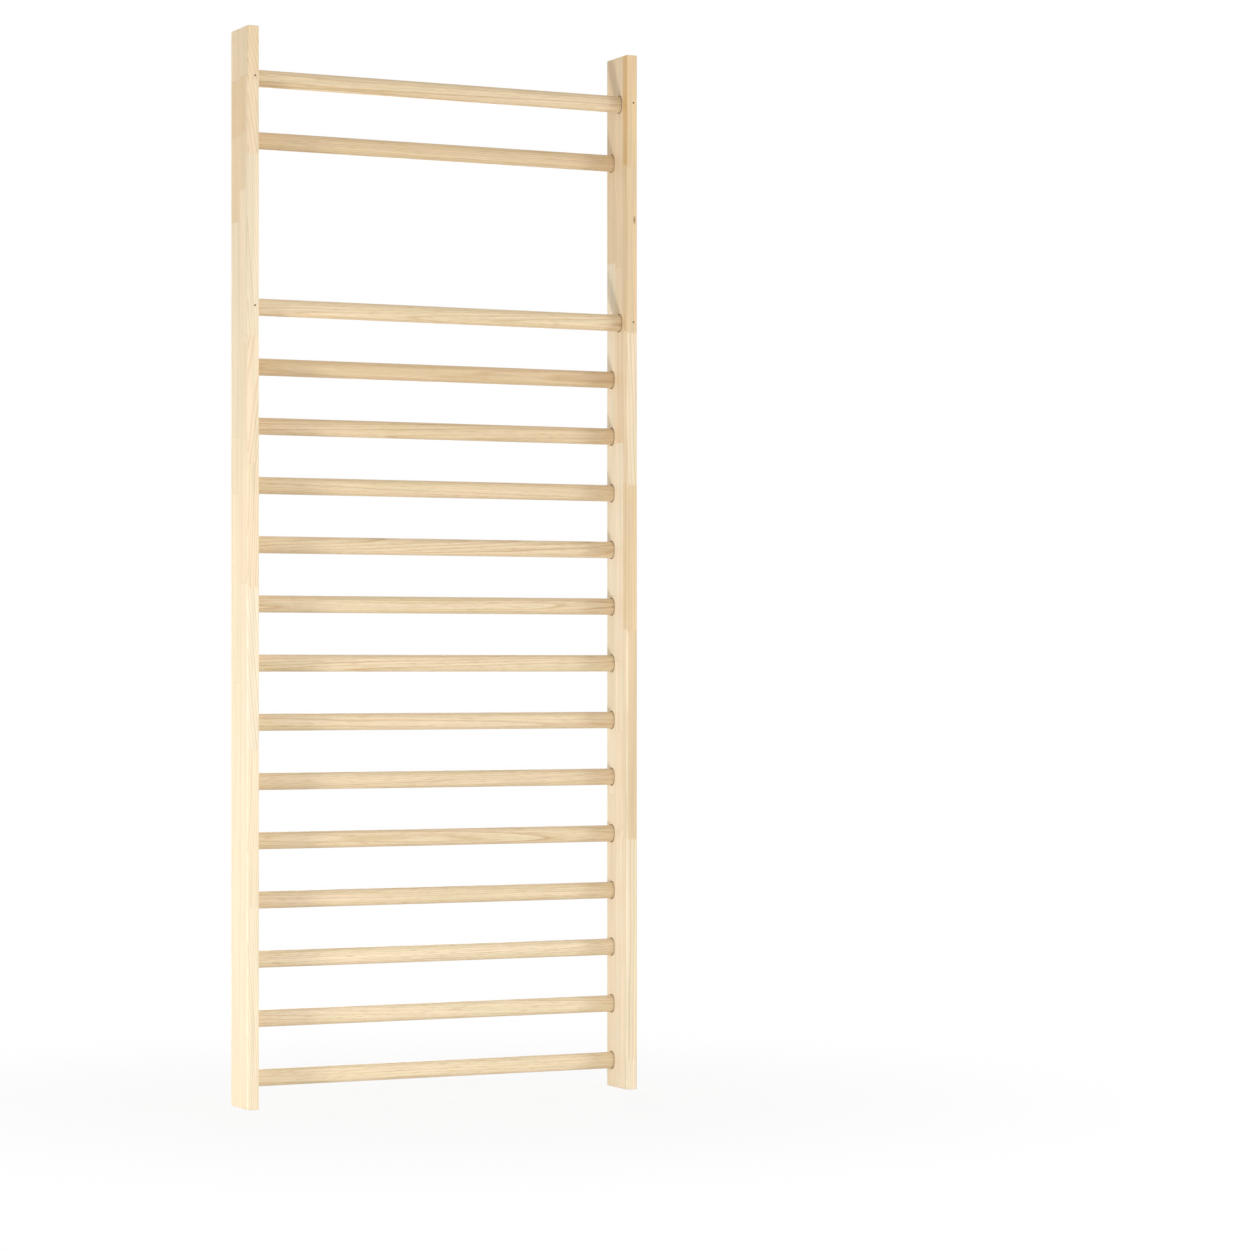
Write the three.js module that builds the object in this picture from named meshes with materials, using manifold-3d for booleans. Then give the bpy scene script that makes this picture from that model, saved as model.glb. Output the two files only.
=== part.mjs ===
// Swedish wall bars in millimetres: +Z is up, the floor is z = 0, and the front edges face -Y.
// Two laminated uprights carry oval bars. Each bar end sits in a blind socket in an upright's inner face
// and is locked by a steel pin driven through the edge of the upright that lies nearer to the bar.

import * as THREE from 'three';
import { mergeVertices } from 'three/addons/utils/BufferGeometryUtils.js';
import Module from 'manifold-3d';

// Uprights
const WIDTH = 1000;                 // over the outer faces of both uprights
const UPRIGHT_THICKNESS = 28;
const UPRIGHT_DEPTH = 110;          // from front edge to back edge
const UPRIGHT_ARRIS_RADIUS = 2;     // on the four long edges
const UPRIGHT_END_CHAMFER = 1.5;    // round the foot and the top
const TOP_OVERHANG = 115;           // from the centre of the top bar to the top of the uprights

// Bars
const BAR_HEIGHT = 40;
const BAR_DEPTH = 30;
const BAR_END_CHAMFER = 1.5;
const LOWEST_BAR_HEIGHT = 64;       // from the floor to the centre of the lowest bar
const BAR_SPACING = 138;
const LADDER_BAR_COUNT = 13;        // evenly spaced rear bars, from the floor up
const FORWARD_BAR_RISE = 135;       // from the highest ladder bar to the lower forward bar
const HEAD_GAP_RISE = 392;          // from the lower forward bar to the rear bar above the wide gap
const TOP_BAR_RISE = 138;           // from that rear bar to the forward bar at the top
const REAR_BAR_FROM_BACK = 25;      // from the back edges to the centre of a rear bar
const FORWARD_BAR_FROM_FRONT = 43;  // from the front edges to the centre of a forward bar

// Sockets
const SOCKET_WALL = 5;              // wood left between a socket and the upright's outer face
const SOCKET_CLEARANCE = 0.3;       // all round the bar
const SOCKET_END_CLEARANCE = 0.5;   // between the bar's end and the bottom of the socket
const SOCKET_MOUTH_CHAMFER = 1.2;   // eases the edge of the socket in the upright's inner face

// Pins
const PIN_LENGTH = 50;
const PIN_DIAMETER = 2.5;
const PIN_POINT_LENGTH = 5;
const PIN_HEAD_DIAMETER = 3.6;
const PIN_HEAD_HEIGHT = 2;
const PIN_SINK = 1.5;               // the head is driven this far below the edge of the upright
const PIN_OFF_CENTRE = 4;           // towards +X from the middle of the upright's thickness
const PIN_CLEARANCE = 0.3;

// Facets
const ARC_SEGMENTS = 2;             // pairs of facets on a quarter round
const PIN_SEGMENTS = 8;
const CUT_OVERSHOOT = 1;            // how far a cutting shape runs past the face that it opens

// Sizes that follow from the ones above
const SOCKET_DEPTH = UPRIGHT_THICKNESS - SOCKET_WALL;
const MOUTH_REACH = SOCKET_MOUTH_CHAMFER + CUT_OVERSHOOT;
const MOUTH_LENGTH = 2 * MOUTH_REACH + CUT_OVERSHOOT;
const INNER_WIDTH = WIDTH - 2 * UPRIGHT_THICKNESS;
const BAR_LENGTH = INNER_WIDTH + 2 * (SOCKET_DEPTH - SOCKET_END_CLEARANCE);
const UPRIGHT_X = (WIDTH - UPRIGHT_THICKNESS) / 2;
const FRONT_Y = -UPRIGHT_DEPTH / 2;
const BACK_Y = UPRIGHT_DEPTH / 2;
const REAR_BAR_Y = BACK_Y - REAR_BAR_FROM_BACK;
const FORWARD_BAR_Y = FRONT_Y + FORWARD_BAR_FROM_FRONT;

// Finishes
const UPRIGHT_FINISH = { color: 0xf0dcbc, roughness: 0.55, metalness: 0 };
const BAR_FINISH = { color: 0xdec39a, roughness: 0.5, metalness: 0 };
const PIN_FINISH = { color: 0x5d564e, roughness: 0.4, metalness: 1 };

const wasm = await Module();
wasm.setup();

// A closed solid from a geometry, with its shared vertices merged
function solidOf(geometry) {
  const bare = geometry.clone();
  bare.deleteAttribute('normal');
  bare.deleteAttribute('uv');
  const merged = mergeVertices(bare);
  return new wasm.Manifold(new wasm.Mesh({
    numProp: 3,
    vertProperties: Float32Array.from(merged.attributes.position.array),
    triVerts: Uint32Array.from(merged.index.array),
  }));
}

// The geometry of a body with all the cutting shapes taken out of it
function cut(body, cutters) {
  let solid = solidOf(body);
  for (const cutter of cutters) {
    solid = solid.subtract(solidOf(cutter));
  }
  const mesh = solid.getMesh();
  const geometry = new THREE.BufferGeometry();
  geometry.setAttribute('position', new THREE.BufferAttribute(mesh.vertProperties, mesh.numProp));
  geometry.setIndex(new THREE.BufferAttribute(mesh.triVerts, 1));
  geometry.computeVertexNormals();
  return geometry;
}

// A rectangle with rounded corners, centred on the origin
function roundedSection(width, height, radius) {
  const x = width / 2 - radius;
  const y = height / 2 - radius;
  const shape = new THREE.Shape();
  shape.absarc(x, y, radius, 0, Math.PI / 2);
  shape.absarc(-x, y, radius, Math.PI / 2, Math.PI);
  shape.absarc(-x, -y, radius, Math.PI, 3 * Math.PI / 2);
  shape.absarc(x, -y, radius, 3 * Math.PI / 2, 2 * Math.PI);
  shape.closePath();
  return shape;
}

// A section carried along +Z from z = 0, with both ends chamfered
function chamferedRod(section, length, chamfer) {
  const rod = new THREE.ExtrudeGeometry(section, {
    depth: length - 2 * chamfer,
    bevelThickness: chamfer,
    bevelSize: chamfer,
    bevelOffset: -chamfer,
    bevelSegments: 1,
    curveSegments: ARC_SEGMENTS,
  });
  return rod.translate(0, 0, chamfer);
}

// Turns a rod that runs along Z so that it runs along X, with its section's height up and its middle at x = 0
function laidAlongX(rod, length) {
  const turn = new THREE.Matrix4().makeBasis(
    new THREE.Vector3(0, 1, 0),
    new THREE.Vector3(0, 0, 1),
    new THREE.Vector3(1, 0, 0),
  );
  return rod.applyMatrix4(turn).translate(-length / 2, 0, 0);
}

// The oval of a bar, grown by a clearance: two half rounds with flats between them
function barSection(clearance) {
  const depth = BAR_DEPTH + 2 * clearance;
  const height = BAR_HEIGHT + 2 * clearance;
  return roundedSection(depth, height, Math.min(depth, height) / 2);
}

function socketCutter() {
  const length = SOCKET_DEPTH + CUT_OVERSHOOT;
  const rod = new THREE.ExtrudeGeometry(barSection(SOCKET_CLEARANCE), {
    depth: length,
    bevelEnabled: false,
    curveSegments: ARC_SEGMENTS,
  });
  return laidAlongX(rod, length);
}

// The cone that eases a socket's mouth: one tapered end lies in the upright and the rest outside it
function mouthCutter() {
  const rod = chamferedRod(barSection(SOCKET_CLEARANCE + MOUTH_REACH), MOUTH_LENGTH, MOUTH_REACH);
  return laidAlongX(rod, MOUTH_LENGTH);
}

// A profile in radius and depth, turned about the Y axis, with its first point at the shallow end
function turned(profile) {
  const points = profile.map(([radius, depth]) => new THREE.Vector2(radius, depth));
  return new THREE.LatheGeometry(points, PIN_SEGMENTS);
}

function pinGeometry() {
  return turned([
    [0, 0],
    [PIN_HEAD_DIAMETER / 2, 0],
    [PIN_HEAD_DIAMETER / 2, PIN_HEAD_HEIGHT],
    [PIN_DIAMETER / 2, PIN_HEAD_HEIGHT],
    [PIN_DIAMETER / 2, PIN_LENGTH - PIN_POINT_LENGTH],
    [0, PIN_LENGTH],
  ]);
}

// The stepped bore for a pin, from outside the edge of the upright to just past the pin's point
function pinBore() {
  const mouth = -PIN_SINK - CUT_OVERSHOOT;
  const headRadius = PIN_HEAD_DIAMETER / 2 + PIN_CLEARANCE;
  const shankRadius = PIN_DIAMETER / 2 + PIN_CLEARANCE;
  return turned([
    [0, mouth],
    [headRadius, mouth],
    [headRadius, PIN_HEAD_HEIGHT + PIN_CLEARANCE],
    [shankRadius, PIN_HEAD_HEIGHT + PIN_CLEARANCE],
    [shankRadius, PIN_LENGTH + PIN_CLEARANCE],
    [0, PIN_LENGTH + PIN_CLEARANCE],
  ]);
}

// Every bar, from the floor up
const bars = [];
for (let step = 0; step < LADDER_BAR_COUNT; step += 1) {
  bars.push({ forward: false, z: LOWEST_BAR_HEIGHT + step * BAR_SPACING });
}
const topLadderBar = bars.at(-1);
const lowerForwardBar = { forward: true, z: topLadderBar.z + FORWARD_BAR_RISE };
const upperRearBar = { forward: false, z: lowerForwardBar.z + HEAD_GAP_RISE };
const topBar = { forward: true, z: upperRearBar.z + TOP_BAR_RISE };
bars.push(lowerForwardBar, upperRearBar, topBar);
bars.forEach((bar, index) => {
  bar.name = `bar_${String(index + 1).padStart(2, '0')}`;
  bar.y = bar.forward ? FORWARD_BAR_Y : REAR_BAR_Y;
  bar.pinY = bar.forward ? FRONT_Y + PIN_SINK : BACK_Y - PIN_SINK;
  bar.pinTurn = bar.forward ? 0 : Math.PI;
});
const UPRIGHT_HEIGHT = topBar.z + TOP_OVERHANG;

// inward is the direction along X from the upright's middle to its socketed face
const sides = [
  { name: 'left', x: -UPRIGHT_X, inward: 1 },
  { name: 'right', x: UPRIGHT_X, inward: -1 },
];

function uprightMesh(side) {
  const section = roundedSection(UPRIGHT_THICKNESS, UPRIGHT_DEPTH, UPRIGHT_ARRIS_RADIUS);
  const body = chamferedRod(section, UPRIGHT_HEIGHT, UPRIGHT_END_CHAMFER);
  const socketX = side.inward * (UPRIGHT_THICKNESS - SOCKET_DEPTH + CUT_OVERSHOOT) / 2;
  const mouthX = side.inward * (UPRIGHT_THICKNESS / 2 - SOCKET_MOUTH_CHAMFER + MOUTH_LENGTH / 2);
  const cutters = bars.flatMap((bar) => [
    socketCutter().translate(socketX, bar.y, bar.z),
    mouthCutter().translate(mouthX, bar.y, bar.z),
    pinBore().rotateZ(bar.pinTurn).translate(PIN_OFF_CENTRE, bar.pinY, bar.z),
  ]);
  const mesh = new THREE.Mesh(cut(body, cutters), new THREE.MeshStandardMaterial(UPRIGHT_FINISH));
  mesh.name = `${side.name}_upright`;
  mesh.position.x = side.x;
  return mesh;
}

function barMesh(bar) {
  const rod = chamferedRod(barSection(0), BAR_LENGTH, BAR_END_CHAMFER);
  const cutters = sides.map((side) => (
    pinBore().rotateZ(bar.pinTurn).translate(side.x + PIN_OFF_CENTRE, bar.pinY - bar.y, 0)
  ));
  const geometry = cut(laidAlongX(rod, BAR_LENGTH), cutters);
  const mesh = new THREE.Mesh(geometry, new THREE.MeshStandardMaterial(BAR_FINISH));
  mesh.name = bar.name;
  mesh.position.set(0, bar.y, bar.z);
  return mesh;
}

function pinMesh(bar, side) {
  const mesh = new THREE.Mesh(pinGeometry(), new THREE.MeshStandardMaterial(PIN_FINISH));
  mesh.name = `${bar.name}_${side.name}_pin`;
  mesh.position.set(side.x + PIN_OFF_CENTRE, bar.pinY, bar.z);
  mesh.rotation.z = bar.pinTurn;
  return mesh;
}

const wallBars = new THREE.Group();
const uprights = new THREE.Group();
uprights.add(...sides.map(uprightMesh));
wallBars.add(uprights);
for (const bar of bars) {
  const rung = new THREE.Group();
  rung.add(barMesh(bar), ...sides.map((side) => pinMesh(bar, side)));
  wallBars.add(rung);
}

export default wallBars;
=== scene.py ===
import math

import bpy
import numpy as np
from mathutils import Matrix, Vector


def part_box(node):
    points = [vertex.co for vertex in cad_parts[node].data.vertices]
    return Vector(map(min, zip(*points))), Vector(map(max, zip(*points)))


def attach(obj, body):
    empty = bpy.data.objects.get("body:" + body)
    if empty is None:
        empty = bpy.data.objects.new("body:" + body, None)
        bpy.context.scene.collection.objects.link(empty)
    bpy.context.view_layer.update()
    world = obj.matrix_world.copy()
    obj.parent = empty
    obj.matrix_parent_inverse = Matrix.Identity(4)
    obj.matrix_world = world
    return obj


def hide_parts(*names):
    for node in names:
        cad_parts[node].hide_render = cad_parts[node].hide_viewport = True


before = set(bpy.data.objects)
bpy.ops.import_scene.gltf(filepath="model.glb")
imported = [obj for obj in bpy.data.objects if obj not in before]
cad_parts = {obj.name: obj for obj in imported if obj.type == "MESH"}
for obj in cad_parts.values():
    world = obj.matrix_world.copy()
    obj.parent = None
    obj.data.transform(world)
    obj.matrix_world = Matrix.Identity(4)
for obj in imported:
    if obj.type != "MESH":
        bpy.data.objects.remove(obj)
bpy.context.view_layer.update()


# The uprights are two planks of pale softwood: short staves finger-jointed end to end, glued edge to edge,
# planed with small rounded arrises and lacquered clear. Blind oval sockets are routed into the inner faces
# for the ends of the bars, and thin holes in the front and back edges take the pins that lock them.
ARRIS_RADIUS = 0.002
ARRIS_STEPS = 6
END_ROUNDING = 0.0015
END_STEPS = 4
FACE_STEPS = 16                # columns over a wide face
EDGE_STEPS = 8                 # columns over a narrow edge
SOCKET_WALL = 0.005            # wood left behind a socket
SOCKET_CLEARANCE = 0.0003
SOCKET_MOUTH_ROUNDING = 0.0012
SOCKET_FLOOR_ROUNDING = 0.001
SOCKET_PAINTED_SHADE = (1.0, 0.0015)  # how dark a hole's wall is painted as shade, and how far the painted shade reaches round its mouth
PIN_SINK = 0.0015              # the pins' heads lie this far below the edges
PIN_HEAD_HEIGHT = 0.002
PIN_CLEARANCE = 0.0001
PIN_HOLE_ROUNDING = 0.0002     # at the mouth and at the floor
# the pin holes get the same painted shade, reaching only a little round their mouths
PIN_HOLE_PAINTED_SHADE = (1.0, 0.0002)
ROUNDING_STEPS = 4
FAR_FROM_HOLES = -100.0        # the painted hole shade where no hole is near
NEARLY_ZERO = 1e-9             # keeps a ray straight up from dividing by zero
PATCH_HALF_HEIGHT = 0.032      # each hole lies in a patch of the face that reaches this far up and down
PATCH_ROWS = 16
PATCH_EVENNESS = 0.35          # 1 spaces a patch's rows evenly, and less gathers them at its middle
FRONT_EDGE, RIGHT_FACE, BACK_EDGE, LEFT_FACE = range(4)  # the sides of a plank, in their order round it


def node_box(node):
    """The lowest and the highest corner of a piece's place in the frame."""
    return tuple(np.array(corner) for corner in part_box(node))


def rounded_loop(half_sizes, radius, flat_steps, arc_steps):
    """A rectangle with round corners, anticlockwise. Every point is a point of the inner rectangle, smaller
    by the radius on all sides, plus the radius times a direction: along a flat the inner point moves and
    the direction stands still, and round a corner the direction turns. Gives the inner points and the
    directions."""
    inner_corners = (np.array(half_sizes) - radius) * [(-1, -1), (1, -1), (1, 1), (-1, 1)]
    inner_points = []
    angles = []
    for side in range(4):
        start = inner_corners[side]
        end = inner_corners[(side + 1) % 4]
        along = np.linspace(0, 1, flat_steps[side % 2], endpoint=False)
        turn = np.linspace(0, 1, arc_steps, endpoint=False)
        inner_points += [start + np.outer(along, end - start), np.tile(end, (arc_steps, 1))]
        angles += [np.full(len(along), side - 1.0), side - 1 + turn]
    angle = np.concatenate(angles) * math.pi / 2
    return np.concatenate(inner_points), np.column_stack([np.cos(angle), np.sin(angle)])


def carried_rod(loop, radius, start, end, stations, rounding):
    """A loop carried along its normal from start to end, through the stations. Over each end's rounding the
    loop shrinks by rounding times (1 - cos) of an angle while it advances by rounding times its sine.
    Gives a grid of points and a grid of normals, one row per station and one column per loop point."""
    inner_points, directions = loop
    swing = np.linspace(math.pi / 2, 0, END_STEPS, endpoint=False)
    angle = np.concatenate([-swing, np.zeros(len(stations) + 2), swing[::-1]])
    place = np.concatenate([
        start + rounding * (1 - np.sin(swing)),
        [start + rounding],
        stations,
        [end - rounding],
        end - rounding * (1 - np.sin(swing[::-1])),
    ])
    reach = radius - rounding * (1 - np.cos(angle))
    flat = inner_points + reach[:, None, None] * directions
    points = np.dstack([flat, np.broadcast_to(place[:, None], flat.shape[:2])])
    facing = np.cos(angle)[:, None, None] * directions
    normals = np.dstack([facing, np.broadcast_to(np.sin(angle)[:, None], flat.shape[:2])])
    return points, normals


def hole_profile(depth, mouth_rounding, floor_rounding):
    """The wall of a blind hole from its mouth to its floor, as rows of growth beyond the hole's outline,
    depth, and the normal's parts away from the axis and out of the hole: a convex quarter round at the
    mouth, a straight wall, and a concave quarter round at the floor."""
    angle = np.linspace(0, math.pi / 2, ROUNDING_STEPS + 1)
    sine = np.sin(angle)
    cosine = np.cos(angle)
    mouth = np.column_stack([mouth_rounding * (1 - sine), mouth_rounding * (1 - cosine), -sine, cosine])
    floor = np.column_stack([
        floor_rounding * (cosine - 1), depth - floor_rounding * (1 - sine), -cosine, sine,
    ])
    return np.vstack([mouth, floor])


def oval_outline(sideways, upward, radius, half_flat):
    """Where a ray from an oval's centre towards each given point leaves the oval, which is two half rounds
    joined by upright flats: at radius over the sideways part on a flat, and on a half round where the
    distance to that round's centre equals the radius. Gives the points and the outline's normals there."""
    ray = np.column_stack([sideways, upward])
    ray /= np.linalg.norm(ray, axis=1, keepdims=True)
    across, rise = np.abs(ray).T
    on_flat = radius / np.maximum(across, NEARLY_ZERO)
    on_round = half_flat * rise + np.sqrt(radius ** 2 - (half_flat * across) ** 2)
    length = np.where(on_flat * rise <= half_flat, on_flat, on_round)
    outline = ray * length[:, None]
    round_centre = np.column_stack([np.zeros(len(ray)), np.clip(outline[:, 1], -half_flat, half_flat)])
    return outline, (outline - round_centre) / radius


def pierced_skin(points, normals, holes):
    """Quads over a grid that closes on itself across its columns, with a flat cap on the first and last row.
    Each hole takes a patch of flat quads out of the grid: straight quads join the patch's border to the
    hole's outline, found along rays from the hole's centre, and the hole's wall and floor follow.
    Gives the points, normals and faces that are left, and each point's painted hole shade: the hole's own
    inside a hole and at its mouth, and falling by as much for each reach of that shade away from the mouth."""
    rows, columns = points.shape[:2]
    index = np.arange(rows * columns).reshape(rows, columns)
    following = np.roll(index, -1, axis=1)
    kept = np.ones((rows - 1, columns), bool)
    all_points = [points.reshape(-1, 3)]
    all_normals = [normals.reshape(-1, 3)]
    painted_hole_shade = [np.full(rows * columns, FAR_FROM_HOLES)]
    hole_quads = []
    caps = [index[0, ::-1], index[-1]]
    count = rows * columns
    for hole in holes:
        low, high = hole["rows"]
        left, right = hole["columns"]
        kept[low:high, left:right] = False
        border = np.concatenate([
            index[low, left:right],
            index[low:high, right],
            index[high, right:left:-1],
            index[high:low:-1, left],
        ])
        aside = points[low, right] - points[low, left]
        aside /= np.linalg.norm(aside)
        up = points[high, left] - points[low, left]
        up /= np.linalg.norm(up)
        out = np.cross(aside, up)
        offset = all_points[0][border] - hole["centre"]
        outline, slant = oval_outline(offset @ aside, offset @ up, hole["radius"], hole["half_flat"])
        growth, depth, away, outward = hole["profile"].T[:, :, None, None]
        face_axes = np.array([aside, up])
        wall = hole["centre"] + (outline + growth * slant) @ face_axes - depth * out
        wall_normals = away * (slant @ face_axes) + outward * out
        wall_index = count + np.arange(wall.shape[0] * wall.shape[1]).reshape(wall.shape[:2])
        count += wall_index.size
        all_points.append(wall.reshape(-1, 3))
        all_normals.append(wall_normals.reshape(-1, 3))
        mouth_growth = hole["profile"][0, 0]
        clear = np.linalg.norm(offset, axis=1) - np.linalg.norm(outline, axis=1) - mouth_growth
        strength, reach = hole["painted_hole_shade"]
        painted_hole_shade[0][border] = strength * (1 - clear / reach)
        painted_hole_shade.append(np.full(wall_index.size, strength))
        loops = np.vstack([border, wall_index])
        next_loops = np.roll(loops, -1, axis=1)
        strips = np.stack([loops[:-1], next_loops[:-1], next_loops[1:], loops[1:]], axis=-1)
        hole_quads.append(strips.reshape(-1, 4))
        caps.append(wall_index[-1])
    skin = np.stack([index[:-1], following[:-1], following[1:], index[1:]], axis=-1)
    quads = np.concatenate([skin[kept], *hole_quads])
    used = np.unique(np.concatenate([quads.ravel(), *caps]))
    renumbered = np.zeros(count, int)
    renumbered[used] = np.arange(len(used))
    faces = renumbered[quads].tolist() + [renumbered[cap].tolist() for cap in caps]
    points = np.concatenate(all_points)[used]
    normals = np.concatenate(all_normals)[used]
    return points, normals, faces, np.concatenate(painted_hole_shade)[used]


def shaped_piece(name, points, normals, faces, material):
    """A mesh object with its place in its vertices, and one given normal at each vertex."""
    mesh = bpy.data.meshes.new(name)
    mesh.from_pydata(points.tolist(), [], faces, shade_flat=False)
    mesh.normals_split_custom_set_from_vertices(normals.tolist())
    mesh.materials.append(material)
    piece = bpy.data.objects.new(name, mesh)
    bpy.context.scene.collection.objects.link(piece)
    return piece


class Finish:
    """The node tree of a material, or of the world, while it is mixed: feed() sets inputs of a node, each to
    a value or to the socket that feeds it, node() adds a shader node and feeds it, and the other methods
    give the result socket of one common kind of node."""

    def __init__(self, owner):
        owner.use_nodes = True
        self.owner = owner
        self.tree = owner.node_tree
        self.nodes = owner.node_tree.nodes

    def feed(self, node, inputs):
        for key, value in inputs.items():
            if isinstance(value, bpy.types.NodeSocket):
                self.tree.links.new(value, node.inputs[key])
            else:
                node.inputs[key].default_value = value

    def node(self, kind, inputs, **settings):
        made = self.nodes.new("ShaderNode" + kind)
        for name, value in settings.items():
            setattr(made, name, value)
        self.feed(made, inputs)
        return made

    def math(self, operation, *values):
        return self.node("Math", dict(enumerate(values)), operation=operation).outputs[0]

    def vectors(self, operation, *values):
        return self.node("VectorMath", dict(enumerate(values)), operation=operation).outputs["Vector"]

    def scaled(self, vector, factor):
        return self.node("VectorMath", {0: vector, "Scale": factor}, operation="SCALE").outputs["Vector"]

    def length(self, vector):
        return self.node("VectorMath", {0: vector}, operation="LENGTH").outputs["Value"]

    def vector(self, x, y, z):
        return self.node("CombineXYZ", {"X": x, "Y": y, "Z": z}).outputs[0]

    def parts(self, vector):
        return self.node("SeparateXYZ", {"Vector": vector}).outputs

    def place(self):
        """The point on the piece, in the frame's metres."""
        return self.node("TexCoord", {}).outputs["Object"]

    def attribute(self, name, output):
        return self.node("Attribute", {}, attribute_name=name).outputs[output]

    def noise(self, vector, scale, detail):
        inputs = {"Vector": vector, "Scale": scale, "Detail": detail}
        return self.node("TexNoise", inputs, noise_dimensions="3D").outputs["Fac"]

    def chance(self, number):
        """Three chance numbers between 0 and 1 that stay the same for the same number."""
        drawn = self.node("TexWhiteNoise", {"W": number}, noise_dimensions="1D")
        return self.parts(drawn.outputs["Color"])

    def spread(self, value, low, high):
        """A value between 0 and 1 stretched to run from low to high."""
        return self.node("MapRange", {"Value": value, "To Min": low, "To Max": high}).outputs["Result"]

    def rise(self, value, start, end, top):
        """Nothing up to the start, then a straight rise to the top value at the end."""
        inputs = {"Value": value, "From Min": start, "From Max": end, "To Min": 0.0, "To Max": top}
        return self.node("MapRange", inputs).outputs["Result"]

    def ramp(self, position, stops):
        """A smooth curve through the stops, which are pairs of a place and a value."""
        made = self.node("ValToRGB", {"Fac": position})
        made.color_ramp.interpolation = "EASE"
        elements = made.color_ramp.elements
        elements.remove(elements[-1])
        for place, value in stops[1:]:
            elements.new(place).color = (value, value, value, 1.0)
        elements[0].position = stops[0][0]
        elements[0].color = (stops[0][1],) * 3 + (1.0,)
        return made.outputs["Color"]

    def mix(self, share, first, second):
        """Two colours mixed by the share of the second. The node keeps its colour inputs at 6 and 7, after
        those for numbers and vectors, and its colour output at 2."""
        return self.node("Mix", {0: share, 6: first, 7: second}, data_type="RGBA").outputs[2]

    def bump(self, height):
        inputs = {"Strength": 0.25, "Distance": 0.0003, "Height": height}
        return self.node("Bump", inputs).outputs["Normal"]


def opaque(colour):
    return (*colour, 1.0)


# The staves of the planks and the figure of their wood
LEFT_GLUE_LINES = (0.0100, 0.0545)   # between the staves, from the front edge
RIGHT_GLUE_LINES = (0.0205, 0.0645)
GLUE_WIDTH = 0.00025
FINGER_PITCH = 0.0038
FINGER_LENGTH = 0.010
EARLYWOOD = (0.955, 0.850, 0.675)
LATEWOOD = (0.720, 0.510, 0.290)
LEFT_HEARTWOOD = (0.745, 0.465, 0.175)
RIGHT_HEARTWOOD = (0.715, 0.468, 0.205)
YELLOW_TINT = (0.985, 1.000, 0.955)
PINK_TINT = (1.018, 0.988, 0.978)
TINT_RANGE = (-0.75, 1.75)           # more than 0 to 1, because noise keeps near its middle
GLUE_COLOUR = (0.560, 0.400, 0.230)
# painted shade: the dark colour that stands in for the shade inside the holes and in the gaps round the bars'
# ends
PAINTED_HOLE_SHADE_COLOUR = (0.140, 0.055, 0.012)
KNOT_COLOUR = (0.330, 0.170, 0.060)
KNOT_RADIUS = 0.0045
KNOT_CORE = 0.001
KNOT_SLIMNESS = 0.35                 # its width over its height, as an upright oval
KNOT_SHARE = 0.85                    # of the knot's colour at its core
RIGHT_KNOTS = ((0.0205, 2.102),)     # in the front edge, by the place across it and the height
INNER_TONE_AND_LIGHT_DEPTH = 0.0035           # how far the inner face's own tone and painted light reach into the plank
ARRIS_HIGHLIGHT_REACH = 0.005            # how far the painted highlight along the arris of that face and the front edge reaches
PITH_DISTANCE = (0.030, 0.110)       # from the plank's front left corner to the pith, at least and at most
PITH_BEARING = (0.55, 1.15)          # of the pith from that corner, in radians
RING_WANDER = (-0.010, 0.010)
RING_STRENGTH = (0.35, 1.0)
LATEWOOD_IN_RING = ((0.00, 0.30), (0.08, 0.00), (0.55, 0.08), (0.84, 0.70), (0.94, 1.00), (1.00, 0.30))
WANDER_STRETCH = 0.22                # how much slower the rings wander along the grain than across it
GRAIN_STRETCH = 0.03                 # the same for fibres, streaks and bands
FIBRE_SHADES = (0.965, 1.03)         # how far fibres, streaks and bands darken and lighten the wood
STREAK_SHADES = (0.85, 1.15)
BAND_SHADES = (0.91, 1.09)
HEARTWOOD_SHARE = 0.70               # of the heartwood's colour in a piece whose darkness is 1
LATEWOOD_SHARE = 0.80                # of the latewood's colour in the densest ring
END_GRAIN_SHARE = 0.60               # of the heartwood's colour on a sawn end
PAINTED_HOLE_SHADE_SHARE = 0.9                   # of the painted shade's colour in a hole
LACQUER_ROUGHNESS = (0.42, 0.58)
STAVE_STEP = 37.0                    # these set the numbers of any two pieces apart, so that none look alike
HEIGHT_STEP = 971.0
LEFT_SEED = 0.11
RIGHT_SEED = 0.64

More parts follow.
